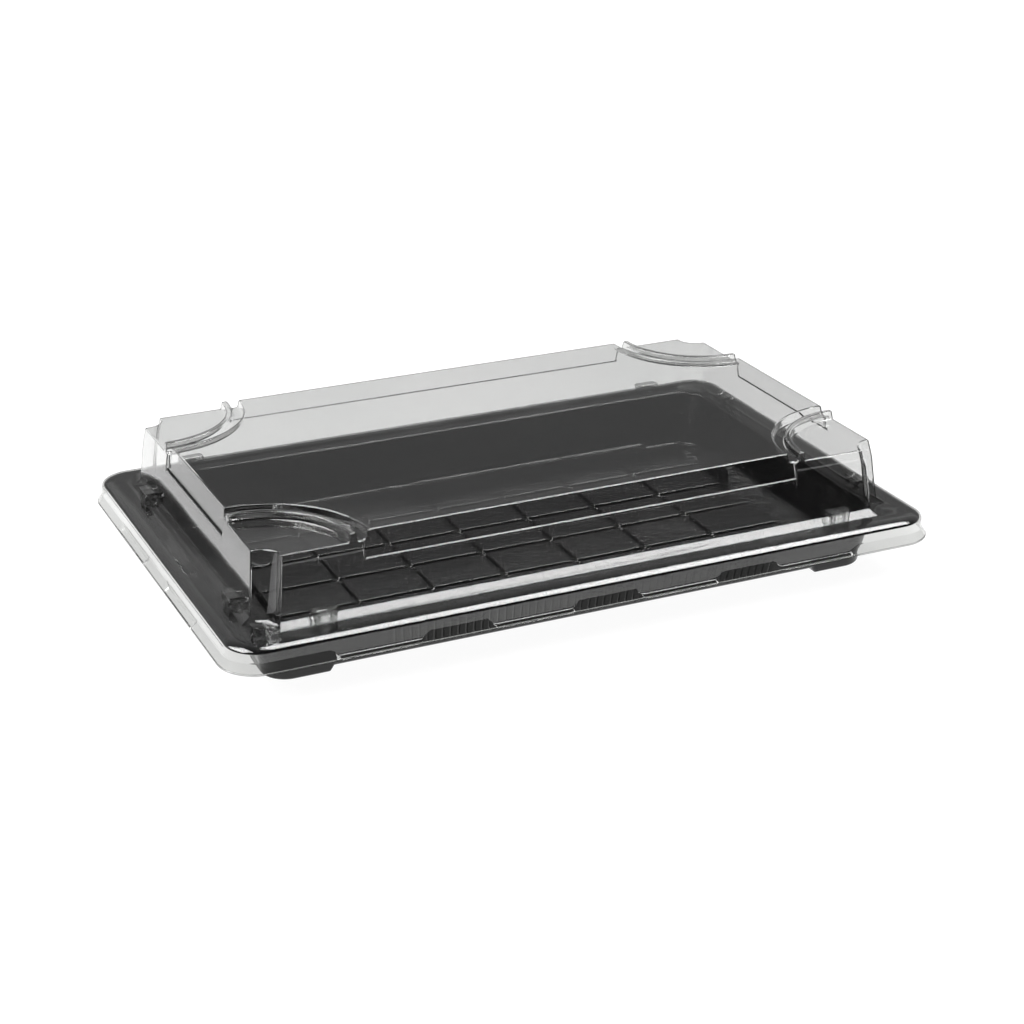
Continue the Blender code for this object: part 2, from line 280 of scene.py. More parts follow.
def trayRings(values):
    edge = values["edgeLevel"]
    corner = values["flangeCorner"]
    start = values["rollStart"]
    rings = [(0.0, edge, corner), (0.0, start, corner)]
    for step in range(1, values["rollSteps"] + 1):
        turn = math.radians(90 * step / values["rollSteps"])
        inset = values["rollWidth"] * (1 - math.cos(turn))
        rings.append((inset, start + values["rollRise"] * math.sin(turn), corner - inset / 2))
    top = start + values["rollRise"]
    bends = [
        (4.6, top, 7.4, 0.0),
        (6.2, top, 7.7, 0.0),
        (7.6, top, 8.0, 0.0),
        (values["rimInset"], top, values["rimCorner"], values["rimRadius"]),
        (values["floorInset"], values["floorLevel"], values["floorCorner"], values["heelRadius"]),
        (values["floorInset"] + 2.2, values["floorLevel"], values["floorCorner"] - 1.6, 0.0),
    ]
    rings += softProfile(bends, values["bendSteps"])
    return [flangeRing(inset, level, ringCorner) for inset, level, ringCorner in rings]


def fluteWalls(values):
    # the long upright edges of the wall are cut across, then every second column is moved
    pickEdges(lambda e: abs(e.verts[0].co.z - e.verts[1].co.z) > 8)
    bpy.ops.mesh.subdivide(number_cuts=values["wallRows"])
    for axis, halfSide, straight, cells, reach in (
            (1, 68.15 - 14.5, 98.5, values["cuts"][1], values["fluteReachX"]),
            (0, 107.5 - 14.5, 59.15, values["cuts"][2], values["fluteReachY"])):
        along = 1 - axis
        for side in (-1, 1):
            for phase, way in ((0.0, 1), (0.5, -1)):
                def onColumn(co):
                    if not values["fluteFoot"] < co.z < values["fluteTop"]:
                        return False
                    if side * co[axis] < halfSide - 1 or abs(co[along]) > reach:
                        return False
                    half = straightHalf(co, axis, values)
                    place = (co[along] + half) / (2 * half) * cells + phase
                    return abs(place - round(place)) < 0.1
                pickVerts(onColumn)
                push = side * way * values["fluteDepth"] / 2
                move(*(push if way2 == axis else 0.0 for way2 in (0, 1, 2)))


# half the straight stretch of the wall at a point's level
def straightHalf(co, axis, values):
    share = (0.85 - co.z) / 15.35
    inset = values["rimInset"] + (values["floorInset"] - values["rimInset"]) * share
    corner = values["rimCorner"] + (values["floorCorner"] - values["rimCorner"]) * share
    half = 107.5 if axis == 1 else 68.15
    return half - inset - corner


def sinkFeet(values):
    floor = values["floorLevel"]
    startX, startY, slope = values["footStartX"], values["footStartY"], values["footSlope"]
    for axis, start in ((0, startX), (1, startY)):
        for side in (-1, 1):
            for place in (start, start + slope):
                pickFaces(lambda f: all(abs(v.co.z - floor) < 0.3 for v in f.verts))
                spot = [0.0, 0.0, 0.0]
                way = [0.0, 0.0, 0.0]
                spot[axis] = side * place
                way[axis] = 1.0
                bpy.ops.mesh.bisect(plane_co=spot, plane_no=way, threshold=0.0001)
    steps = 4
    for step in range(steps):
        share = (step + 0.6) / steps
        shiftPicked(lambda co: co.z < floor + 0.9 + 0.0 * share
                    and abs(co.x) > startX + slope * share
                    and abs(co.y) > startY + slope * share, z=-values["footDrop"] / steps)


fieldValues = {
    "halfX": 80.85,
    "halfY": 37.0,
    "top": -12.0,
    "tileLength": 23.1,
    "tileWidth": 17.2,
    "grooveDepth": 1.0,
    "grooveTop": 0.85,
    "grooveFloor": 0.4,
    "grooveClear": 2.2,
    "cornerRadius": 2.0,
    "spread": 0.7,
    "tileCorner": 0.9,
    "edgeRadius": 0.26,
}


def tileField(values):
    piece = startPiece("tileField")
    halfX, halfY, top = values["halfX"], values["halfY"], values["top"]
    bpy.ops.mesh.primitive_plane_add(size=2, location=(0, 0, top))
    bpy.ops.transform.resize(value=(halfX, halfY, 1), center_override=(0, 0, top))
    grooves = ([(i - 2.5) * values["tileLength"] for i in range(6)],
               [(i - 1.5) * values["tileWidth"] for i in range(4)])
    offsets = [way * values[name] for name in ("grooveTop", "grooveFloor", "grooveClear")
               for way in (-1, 1)]
    for axis, centres in enumerate(grooves):
        for centre in centres:
            for offset in offsets:
                bpy.ops.mesh.select_all(action="SELECT")
                spot = [0.0, 0.0, 0.0]
                way = [0.0, 0.0, 0.0]
                spot[axis] = centre + offset
                way[axis] = 1.0
                bpy.ops.mesh.bisect(plane_co=spot, plane_no=way, threshold=0.0001)

    def inGroove(co):
        return any(abs(co[axis] - centre) < values["grooveFloor"] + nearly
                   for axis in (0, 1) for centre in grooves[axis])
    shiftPicked(inGroove, z=-values["grooveDepth"])

    # the side of the field, spreading down to the floor
    floor = trayValues["floorLevel"]
    pickEdges(isOpen)
    bpy.ops.mesh.extrude_region()
    bpy.ops.transform.resize(value=(1, 1, 0), center_override=(0, 0, floor))
    grow = values["spread"]
    bpy.ops.transform.resize(value=((halfX + grow) / halfX, (halfY + grow) / halfY, 1),
                             center_override=(0, 0, floor))
    pickEdges(lambda e: abs(e.verts[0].co.z - e.verts[1].co.z) > 2
              and all(abs(co.x) > halfX - nearly and abs(co.y) > halfY - nearly for co in ends(e)))
    bpy.ops.mesh.bevel(offset=values["cornerRadius"], segments=5)

    # the slanted corners of the tiles, then every other edge of them
    drop = top - values["grooveDepth"]
    pickFaces(lambda f: len(f.verts) == 4 and f.calc_area() < 1
              and sum(abs(v.co.z - drop) < nearly for v in f.verts) == 3
              and sum(abs(v.co.z - top) < nearly for v in f.verts) == 1)
    bpy.ops.mesh.quads_convert_to_tris(quad_method="LONGEST_DIAGONAL")

    def byCrossing(co):
        return all(min(abs(co[axis] - centre) for centre in grooves[axis])
                   < values["grooveTop"] + nearly for axis in (0, 1))
    pickEdges(lambda e: turnOf(e) < 0.02 and all(byCrossing(co) for co in ends(e)))
    bpy.ops.mesh.dissolve_edges(use_verts=True)
    def isTileCorner(edge):
        first, second = ends(edge)
        return (abs(first.z - second.z) > 0.9 * values["grooveDepth"]
                and abs(first.x - second.x) > 0.1 and abs(first.y - second.y) > 0.1
                and abs(first.z - second.z) < 1.5)
    print("tile corner edges", pickEdges(isTileCorner))
    bpy.ops.mesh.bevel(offset=values["tileCorner"], segments=3)
    sharp = math.radians(32)
    print("tile edges", pickEdges(lambda e: not isOpen(e) and turnOf(e) > sharp))
    bpy.ops.mesh.bevel(offset=values["edgeRadius"], segments=3)
    # a narrow flat skirt round the foot
    pickEdges(isOpen)
    bpy.ops.mesh.extrude_region()
    bpy.ops.transform.resize(value=(1.006, 1.012, 1), center_override=(0, 0, floor))
    pickEdges(lambda e: not isOpen(e) and turnOf(e) > sharp
              and all(abs(co.z - floor) < nearly for co in ends(e)))
    bpy.ops.mesh.bevel(offset=0.35, segments=3)
    weld()
    endEdit()
    return piece


def makeTray(values):
    field = tileField(fieldValues)
    print("tile field made", len(field.data.polygons))
    tray = startPiece("trayPiece")
    rings = trayRings(values)
    loftRings(rings, values["cuts"])
    print("tray rings lofted", len(rings))
    endEdit()
    joinPieces(tray, [field])
    bpy.ops.object.mode_set(mode="EDIT")
    floor = values["floorLevel"]
    pickEdges(lambda e: isOpen(e) and all(abs(co.z - floor) < nearly for co in ends(e)))
    bpy.ops.mesh.fill()
    report("filled")
    fluteWalls(values)
    report("fluted")
    sinkFeet(values)
    report("feet")
    bpy.ops.mesh.select_mode(type="FACE")
    bpy.ops.mesh.select_all(action="SELECT")
    bpy.ops.mesh.normals_make_consistent(inside=False)
    endEdit()
    # the sheet's thickness goes downwards
    facesUp = sum(f.normal.z * f.area for f in tray.data.polygons) > 0
    if not facesUp:
        tray.data.flip_normals()
    applyModifier(tray, "SOLIDIFY", thickness=values["sheet"], offset=-1.0, use_even_offset=False)
    toMetres(tray)
    finishNormals(tray)
    return tray


tray = makeTray(trayValues)
print("tray", len(tray.data.polygons), [round(d, 4) for d in tray.dimensions])


# lid

lidValues = {
    "sheet": 0.4,
    "lipOut": 2.44,
    "lipFoot": -5.4,
    "lipTop": -5.0,
    "wallOut": 0.85,
    "flareTop": -2.7,
    "flareRadius": 0.8,
    "snapTop": -4.5,
    "snapLength": 22.5,
    "snapRamp": 2.3,
    "snapCentres": ((22.5, 67.5), (23.0,)),
    "rollWidth": 4.0,
    "rollSteps": 6,
    "flangeTop": 1.6,
    "corner": 9.0,
    "cuts": (16, 100, 59, 2),
    "footOut": (6.6, 1.6),
    "footIn": (9.2, 3.2),
    "shoulder": (10.5, 10.5, 16.1),
    "ledge": (11.35, 11.35, 16.35),
    "ledgeSlope": 0.45,
    "panelTop": (12.27, 13.24, 23.56),
    "bossTop": (11.62, 12.66, 23.56),
    "bossLevel": 21.1,
    "cornerCut": 5.4,
    "scoopRadius": 5.6,
    "scoopBack": (0.75, 0.8),
    "scoopFillet": 1.5,
    "edgeRadius": 0.5,
    "edgeSteps": 3,
}


def lidRings(values):
    corner, wall = values["corner"], values["wallOut"]
    bends = [
        (-values["lipOut"], values["lipFoot"], corner + values["lipOut"], 0.0),
        (-values["lipOut"], values["lipTop"], corner + values["lipOut"], 0.15),
        (-wall, values["flareTop"], corner + wall, values["flareRadius"]),
        (-wall, 0.0, corner + wall, 0.0),
    ]
    points = softProfile(bends, 4)
    for step in range(1, values["rollSteps"] + 1):
        turn = math.radians(90 * step / values["rollSteps"])
        inset = values["rollWidth"] * (1 - math.cos(turn)) - wall
        points.append((inset, values["flangeTop"] * math.sin(turn), corner - inset))
    points += [(3.9, values["flangeTop"], corner - 3.6), (4.6, values["flangeTop"], corner - 4.0)]
    return [flangeRing(*point) for point in points]


def shapeSnaps(values):
    # the flare is pressed down to the lip along the snap lengths, a little at a time
    steps = 6
    low, high = values["lipTop"] + 0.12, values["flareTop"] + 0.9
    factor = (values["snapTop"] - values["lipTop"]) / (values["flareTop"] - values["lipTop"])
    for axis, half in ((0, 68.15), (1, 107.5)):
        across = 1 - axis
        for step in range(steps):
            reach = values["snapLength"] / 2 + values["snapRamp"] * (1 - step / steps)
            pickVerts(lambda co: low < co.z < high and abs(co[across]) > half
                      and any(abs(abs(co[axis]) - centre) < reach
                              for centre in values["snapCentres"][axis]))
            bpy.ops.transform.resize(value=(1, 1, factor ** (1 / steps)),
                                     center_override=(0, 0, values["lipTop"]))


def raiseTo(insetX, insetY, level, fromX, fromY, fromLevel):
    # extrudes the top outline to a new inset and level
    bpy.ops.mesh.extrude_region_move(
        TRANSFORM_OT_translate={"value": (0, 0, level - fromLevel)})
    bpy.ops.transform.resize(value=((107.5 - insetX) / (107.5 - fromX),
                                    (68.15 - insetY) / (68.15 - fromY), 1),
                             center_override=(0, 0, level))


def frustum(name, rings, cut, cutSteps=1):
    piece = startPiece(name)
    insetX, insetY, level = rings[0]
    bpy.ops.mesh.select_mode(type="VERT")
    bpy.ops.mesh.primitive_plane_add(size=2, location=(0, 0, level))
    bpy.ops.transform.resize(value=(107.5 - insetX, 68.15 - insetY, 1),
                             center_override=(0, 0, level))
    if cut:
        bpy.ops.mesh.bevel(offset=cut, segments=cutSteps, affect="VERTICES")
    bpy.ops.mesh.select_all(action="SELECT")
    for before, after in zip(rings, rings[1:]):
        raiseTo(*after, *before)
    bpy.ops.mesh.select_all(action="SELECT")
    bpy.ops.mesh.normals_make_consistent(inside=False)
    endEdit()
    return piece


def turnedBody(name, centre, profile, steps):
    # a body of revolution about an upright axis, from (radius, level) points
    piece = startPiece(name)
    bpy.ops.mesh.primitive_circle_add(vertices=steps, radius=profile[0][0], fill_type="NGON",
                                      location=(*centre, profile[0][1]))
    for (fromRadius, fromLevel), (radius, level) in zip(profile, profile[1:]):
        bpy.ops.mesh.extrude_region_move(
            TRANSFORM_OT_translate={"value": (0, 0, level - fromLevel)})
        bpy.ops.transform.resize(value=(radius / fromRadius, radius / fromRadius, 1),
                                 center_override=(*centre, level))
    bpy.ops.mesh.select_all(action="SELECT")
    bpy.ops.mesh.normals_make_consistent(inside=False)
    endEdit()
    return piece


def combine(piece, other, operation):
    applyModifier(piece, "BOOLEAN", object=other, operation=operation, solver="EXACT")
    bpy.data.objects.remove(other)


def fourCorners(piece):
    # mirrors a corner body to the other three corners
    applyModifier(piece, "MIRROR", use_axis=(True, True, False), use_mirror_merge=False)
    soloPick(piece)
    bpy.ops.object.mode_set(mode="EDIT")
    bpy.ops.mesh.select_all(action="SELECT")
    bpy.ops.mesh.normals_make_consistent(inside=False)
    endEdit()


def sideWedge(axis, values):
    # what is taken off the wall between two corners, above a small ledge
    half = (107.5, 68.15)[1 - axis]
    reach = (107.5 - values["panelTop"][0], 68.15 - values["panelTop"][1])[axis] - 28.4
    ledge, top = values["ledge"], values["panelTop"]
    slope = (top[1 - axis] - ledge[0]) / (top[2] - ledge[2])
    section = [(ledge[0], ledge[2]), (ledge[0] - 4.0, ledge[2] - 4.0 * values["ledgeSlope"]),
               (ledge[0] - 4.0, 28.0), (ledge[0] + slope * (28.0 - ledge[2]), 28.0)]
    piece = startPiece("wedgeBody")
    inset, level = section[0]
    spot = [0.0, 0.0, level]
    spot[1 - axis] = half - inset
    bpy.ops.mesh.primitive_plane_add(size=2, location=spot)
    size = [0.5, 0.5, 1.0]
    size[axis] = reach
    bpy.ops.transform.resize(value=size, center_override=spot)
    # the box's four long edges are moved to the lines of the section
    middle = spot[1 - axis] + 0.2
    bpy.ops.mesh.extrude_region_move(TRANSFORM_OT_translate={"value": (0, 0, 8.0)})
    for test, (lineInset, lineLevel) in (
            (lambda co: co[1 - axis] < middle and co.z < level + 4, section[0]),
            (lambda co: co[1 - axis] > middle and co.z < level + 4, section[1]),
            (lambda co: co[1 - axis] > middle and co.z > level + 4, section[2]),
            (lambda co: co[1 - axis] < middle and co.z > level + 4, section[3])):
        pickVerts(test)
        bm = bmesh.from_edit_mesh(bpy.context.edit_object.data)
        now = next(v.co.copy() for v in bm.verts if v.select)
        shift = [0.0, 0.0, lineLevel - now.z]
        shift[1 - axis] = half - lineInset - now[1 - axis]
        move(*shift)
    bpy.ops.mesh.select_all(action="SELECT")
    bpy.ops.mesh.normals_make_consistent(inside=False)
    endEdit()
    applyModifier(piece, "MIRROR", use_axis=(axis == 1, axis == 0, False),
                  use_mirror_merge=False)
    soloPick(piece)
    bpy.ops.object.mode_set(mode="EDIT")
    bpy.ops.mesh.select_all(action="SELECT")
    bpy.ops.mesh.normals_make_consistent(inside=False)
    endEdit()
    return piece


def makeDome(values):
    foot, wall = values["footOut"], values["footIn"]
    shoulder = values["shoulder"]
    panelTop, bossTop = values["panelTop"], values["bossTop"]
    level = values["bossLevel"]
    centre = (107.5 - panelTop[0], 68.15 - panelTop[1])
    body = frustum("lidDome", [
        (foot[0], foot[0], 0.9), (foot[0], foot[0], foot[1]), (wall[0], wall[0], wall[1]),
        shoulder, bossTop], values["cornerCut"])
    for axis in (0, 1):
        combine(body, sideWedge(axis, values), "DIFFERENCE")
    pocket = turnedBody("pocketBody", centre, [(24.5, level), (25.2, 26.0)], 96)
    fourCorners(pocket)
    combine(body, pocket, "DIFFERENCE")
    groove = turnedBody("grooveBody", centre, [(29.8, level), (30.6, 26.0)], 96)
    core = turnedBody("coreBody", centre, [(27.12, 20.0), (26.3, 26.1)], 96)
    combine(groove, core, "DIFFERENCE")
    fourCorners(groove)
    combine(body, groove, "DIFFERENCE")

    # the scoops lean with the walls, so that they keep their place on the dome's corner
    back = values["scoopBack"]
    scoop = startPiece("scoopBody")
    start = tuple(wall[0] - (shoulder[i] - wall[0]) / (shoulder[2] - wall[1])
                  * (wall[1] - foot[1]) for i in (0, 1)) + (foot[1] - 0.3,)
    path = [start, shoulder, bossTop]
    spots = [(107.5 - insetX - back[0], 68.15 - insetY - back[1], spotLevel)
             for insetX, insetY, spotLevel in path]
    bpy.ops.mesh.primitive_circle_add(vertices=24, radius=values["scoopRadius"],
                                      fill_type="NGON", location=spots[0])
    for before, after in zip(spots, spots[1:] + [spots[-1][:2] + (26.0,)]):
        bpy.ops.mesh.extrude_region_move(TRANSFORM_OT_translate={
            "value": [after[i] - before[i] for i in (0, 1, 2)]})
    bpy.ops.mesh.select_all(action="SELECT")
    bpy.ops.mesh.normals_make_consistent(inside=False)
    endEdit()
    fourCorners(scoop)
    combine(body, scoop, "DIFFERENCE")
    plate = frustum("plateBody", [(5.2, 5.2, 0.5), (5.2, 5.2, foot[1])], 4.4, 10)
    combine(body, plate, "UNION")

    soloPick(body)
    bpy.ops.object.mode_set(mode="EDIT")
    bpy.ops.mesh.select_all(action="SELECT")
    bpy.ops.mesh.remove_doubles(threshold=0.05)
    bpy.ops.mesh.dissolve_limited(angle_limit=math.radians(1.0))

    def onFoot(co):
        return abs(co.x) < 107.5 - foot[0] + nearly and abs(co.y) < 68.15 - foot[0] + nearly
    def inScoop(co):
        return co.z < wall[1] + nearly and (107.5 - abs(co.x) < 18) and (68.15 - abs(co.y) < 18)
    print("foot edges", pickEdges(
        lambda e: turnOf(e) > math.radians(60)
        and all(abs(co.z - foot[1]) < nearly and abs(co.x) < 107.5 - wall[0] - 0.8
                and abs(co.y) < 68.15 - wall[0] - 0.8 for co in ends(e))))
    bpy.ops.mesh.bevel(offset=values["scoopFillet"], segments=5)
    sharp = math.radians(25)
    print("dome edges", pickEdges(lambda e: turnOf(e) > sharp
                                  and all(co.z > foot[1] - nearly and onFoot(co)
                                          for co in ends(e))
                                  and not all(inScoop(co) for co in ends(e))))
    bpy.ops.mesh.bevel(offset=values["edgeRadius"], segments=values["edgeSteps"])
    weld()
    pickFaces(lambda f: all(v.co.z < foot[1] + nearly for v in f.verts) and abs(f.normal.z) < 0.5
              or all(v.co.z < foot[1] - 0.5 for v in f.verts))
    bpy.ops.mesh.delete(type="FACE")
    bm = bmesh.from_edit_mesh(bpy.context.edit_object.data)
    for f in bm.faces:
        if len(f.verts) > 12:
            tris = bm.calc_loop_triangles()
            break
    sums = {}
    for tri in tris:
        f = tri[0].face
        a, b, c = (l.vert.co for l in tri)
        sums[f] = sums.get(f, 0) + (b - a).cross(c - a).length / 2
    for f, area in sums.items():
        if len(f.verts) > 12:
            print("ngon", len(f.verts), round(f.calc_area(), 3), round(area, 3), [round(q, 1) for q in f.calc_center_median()])
    endEdit()
    return body


lugValues = {
    "wallInset": 9.15,
    "placeX": 80.0,
    "placeY": 40.0,
    "barWidth": 7.4,
    "barTop": 5.2,
    "barDrop": 1.3,
    "legSpan": 4.7,
    "legWidth": 1.5,
    "depth": 2.7,
    "foot": 1.62,
    "edge": 0.28,
}


# one small lug against the +y wall: a bar with rounded ends on two legs
def makeLug(values, wallLine=0.0):
    lug = startPiece("lugBody")
    depth, top, low = values["depth"], values["barTop"], values["barTop"] - values["barDrop"]
    bpy.ops.mesh.primitive_plane_add(size=2, location=(0, wallLine + depth / 2 - 0.4, low))
    bpy.ops.transform.resize(value=(values["barWidth"] / 2, (depth + 0.8) / 2, 1),
                             center_override=(0, wallLine + depth / 2 - 0.4, low))
    bpy.ops.mesh.extrude_region_move(
        TRANSFORM_OT_translate={"value": (0, 0, values["barDrop"])})
    # legs come down from the bar's underside
    inner = values["legSpan"] / 2 - values["legWidth"] / 2
    for place in (-inner - values["legWidth"], -inner, inner, inner + values["legWidth"]):
        bpy.ops.mesh.select_all(action="SELECT")
        bpy.ops.mesh.bisect(plane_co=(place, 0, 0), plane_no=(1, 0, 0), threshold=0.0001)
    pickFaces(lambda f: abs(f.calc_center_median().z - low) < nearly
              and inner < abs(f.calc_center_median().x) < inner + values["legWidth"])
    bpy.ops.mesh.extrude_region_move(
        TRANSFORM_OT_translate={"value": (0, 0, values["foot"] - low)})
    bpy.ops.mesh.delete(type="FACE")
    bpy.ops.mesh.select_all(action="SELECT")
    bpy.ops.mesh.normals_make_consistent(inside=False)
    bpy.ops.mesh.dissolve_limited(angle_limit=math.radians(1.0))
    # the bar's outer upright corners are rounded more than its other edges
    pickEdges(lambda e: abs(e.verts[0].co.z - e.verts[1].co.z) > 0.5
              and all(abs(co.x) > values["barWidth"] / 2 - nearly
                      and co.y > wallLine + 1 for co in ends(e)))
    bpy.ops.mesh.bevel(offset=0.9, segments=4)
    pickEdges(lambda e: not isOpen(e) and turnOf(e) > math.radians(40)
              and all(co.y > wallLine + 1 for co in ends(e)))
    bpy.ops.mesh.bevel(offset=values["edge"], segments=2)
    pickFaces(lambda f: all(v.co.y < wallLine for v in f.verts))
    bpy.ops.mesh.delete(type="FACE")
    endEdit()
    applyModifier(lug, "SOLIDIFY", thickness=0.3, offset=-1.0)
    return lug


def addLugs(lid, values):
    wall = values["wallInset"]
    lugs = [makeLug(values)]
    while len(lugs) < 8:
        soloPick(lugs[0])
        bpy.ops.object.duplicate(linked=False)
        lugs.append(bpy.context.object)
    places = [(turns, side * along, half - wall)
              for turns, along, half in ((0, values["placeX"], 68.15), (2, values["placeX"], 68.15),
                                         (1, values["placeY"], 107.5), (3, values["placeY"], 107.5))
              for side in (1, -1)]
    for lug, (quarterTurns, place, wallLine) in zip(lugs, places):
        soloPick(lug)
        bpy.ops.object.mode_set(mode="EDIT")
        bpy.ops.mesh.select_all(action="SELECT")
        move(x=place, y=wallLine)
        bpy.ops.transform.rotate(value=math.radians(90 * quarterTurns), orient_axis="Z",
                                 center_override=(0, 0, 0))
        endEdit()
    joinPieces(lid, lugs)


def makeLid(values):
    dome = makeDome(values)
    print("dome", len(dome.data.polygons))
    lid = startPiece("lidPiece")
    loftRings(lidRings(values), values["cuts"])
    shapeSnaps(values)
    endEdit()
    joinPieces(lid, [dome])
    bpy.ops.object.mode_set(mode="EDIT")
    level = values["flangeTop"]
    pickEdges(lambda e: isOpen(e) and all(abs(co.z - level) < 0.01 for co in ends(e)))
    bpy.ops.mesh.fill()
    bpy.ops.mesh.select_all(action="SELECT")
    bpy.ops.mesh.normals_make_consistent(inside=False)
    endEdit()
    facesUp = sum(f.normal.z * f.area for f in lid.data.polygons) > 0
    if not facesUp:
        lid.data.flip_normals()
    applyModifier(lid, "SOLIDIFY", thickness=values["sheet"], offset=-1.0, use_even_offset=False)
    addLugs(lid, lugValues)
    toMetres(lid)
    finishNormals(lid)
    return lid


lid = makeLid(lidValues)
print("lid", len(lid.data.polygons), [round(d, 4) for d in lid.dimensions])


# materials

def newMaterial(name):
    material = bpy.data.materials.new(name)
    material.use_nodes = True
    tree = material.node_tree
    return material, tree, tree.nodes["Principled BSDF"], tree.nodes["Material Output"]


def addNode(tree, kind, **inputs):
    node = tree.nodes.new(kind)
    for key, value in inputs.items():
        if key.startswith("set_"):
            setattr(node, key[4:], value)
        else:
            node.inputs[key.replace("_", " ")].default_value = value
    return node


def noise(tree, coords, scale, detail=2.0, roughness=0.5):
    node = addNode(tree, "ShaderNodeTexNoise", Scale=scale, Detail=detail, Roughness=roughness)
    tree.links.new(coords, node.inputs["Vector"])
    return node.outputs["Fac"]


def mapped(tree, factor, low, high, fromLow=0.3, fromHigh=0.7):
    node = tree.nodes.new("ShaderNodeMapRange")
    for index, value in ((1, fromLow), (2, fromHigh), (3, low), (4, high)):
        node.inputs[index].default_value = value
    tree.links.new(factor, node.inputs[0])
    return node.outputs[0]


def bump(tree, height, distance, strength=1.0, after=None):
    node = addNode(tree, "ShaderNodeBump", Strength=strength, Distance=distance)
    tree.links.new(height, node.inputs["Height"])
    if after:
        tree.links.new(after, node.inputs["Normal"])
    return node.outputs["Normal"]


def blend(tree, factor, first, second):
    node = tree.nodes.new("ShaderNodeMix")
    node.data_type = "RGBA"
    node.inputs["A"].default_value = (*first, 1)
    node.inputs["B"].default_value = (*second, 1)
    tree.links.new(factor, node.inputs["Factor"])
    return node.outputs["Result"]


def blackPlastic():
    material, tree, shader, output = newMaterial("black_plastic")
    coords = tree.nodes.new("ShaderNodeTexCoord").outputs["Object"]
    cloud = noise(tree, coords, 28.0, 3.0)
    grain = noise(tree, coords, 900.0, 3.0, 0.6)
    tree.links.new(blend(tree, mapped(tree, cloud, 0, 1), (0.0022, 0.0022, 0.0024),
                         (0.0046, 0.0044, 0.0044)), shader.inputs["Base Color"])
    tree.links.new(mapped(tree, noise(tree, coords, 60.0, 5.0, 0.65), 0.09, 0.17),
                   shader.inputs["Roughness"])
    wavy = bump(tree, noise(tree, coords, 45.0, 1.0), 0.0001)
    tree.links.new(bump(tree, grain, 0.000002, 1.0, wavy), shader.inputs["Normal"])
    shader.inputs["IOR"].default_value = 1.5
    return material


def clearPlastic():
    material, tree, shader, output = newMaterial("clear_plastic")
    coords = tree.nodes.new("ShaderNodeTexCoord").outputs["Object"]
    cloud = noise(tree, coords, 20.0, 3.0)
    clear = blend(tree, mapped(tree, cloud, 0, 1), (0.83, 0.835, 0.83), (0.86, 0.86, 0.857))
    split = tree.nodes.new("ShaderNodeSeparateXYZ")
    tree.links.new(coords, split.inputs[0])
    # painted shade: below the flange edge the skirt is given a darker colour than the dome,
    # standing in for the shade seen through it
    skirtShadeMask = mapped(tree, split.outputs["Z"], 1, 0, 0.0165, 0.0175)
    skirtShade = tree.nodes.new("ShaderNodeMix")
    skirtShade.data_type = "RGBA"
    skirtShade.inputs["B"].default_value = (0.66, 0.665, 0.655, 1)
    tree.links.new(skirtShadeMask, skirtShade.inputs["Factor"])
    # the clear tint is mixed towards the painted skirt shade
    tree.links.new(clear, skirtShade.inputs["A"])
    tree.links.new(skirtShade.outputs["Result"], shader.inputs["Base Color"])
    tree.links.new(mapped(tree, noise(tree, coords, 70.0, 5.0, 0.65), 0.0, 0.015),
                   shader.inputs["Roughness"])
    wavy = bump(tree, noise(tree, coords, 30.0, 1.0), 0.0001)
    tree.links.new(bump(tree, noise(tree, coords, 600.0, 2.0), 0.000001, 1.0, wavy),
                   shader.inputs["Normal"])
    shader.inputs["Transmission Weight"].default_value = 1.0
    shader.inputs["IOR"].default_value = 1.45
    # light passes through the thin sheet without a hard shadow
    passing = addNode(tree, "ShaderNodeBsdfTransparent", Color=(0.84, 0.84, 0.838, 1))
    path = tree.nodes.new("ShaderNodeLightPath")
    mix = tree.nodes.new("ShaderNodeMixShader")
    tree.links.new(path.outputs["Is Shadow Ray"], mix.inputs["Fac"])
    tree.links.new(shader.outputs["BSDF"], mix.inputs[1])
    tree.links.new(passing.outputs["BSDF"], mix.inputs[2])
    tree.links.new(mix.outputs["Shader"], output.inputs["Surface"])
    return material


def wear(piece, material):
    piece.data.materials.clear()
    piece.data.materials.append(material)


wear(tray, blackPlastic())
wear(lid, clearPlastic())


# floor, light and camera

stageValues = {
    "floorColour": 0.12,
    "floorGlow": 0.95,
    "darkFrom": -0.115,     # a dark strip painted into the floor in front, seen in reflections only: a painted dark reflection
    "darkTo": -0.9,
    "darkGlow": 0.03,
    "softLevel": 9.0,
    "skyFront": ((0.0, 0.05), (0.25, 0.03), (0.8, 0.03), (1.0, 0.05)),
    "skyBack": ((0.0, 0.5), (0.2, 0.3), (0.32, 0.17), (0.385, 0.2), (0.425, 0.4), (0.55, 0.25),
                (0.8, 0.1), (1.0, 0.05)),
}


def stepMask(tree, value, low, high):
    node = tree.nodes.new("ShaderNodeMapRange")
    node.interpolation_type = "SMOOTHSTEP"
    node.inputs[1].default_value = low
    node.inputs[2].default_value = high
    tree.links.new(value, node.inputs[0])
    return node.outputs[0]


def times(tree, first, second):
    node = tree.nodes.new("ShaderNodeMath")
    node.operation = "MULTIPLY"
    tree.links.new(first, node.inputs[0])
    tree.links.new(second, node.inputs[1])
    return node.outputs[0]


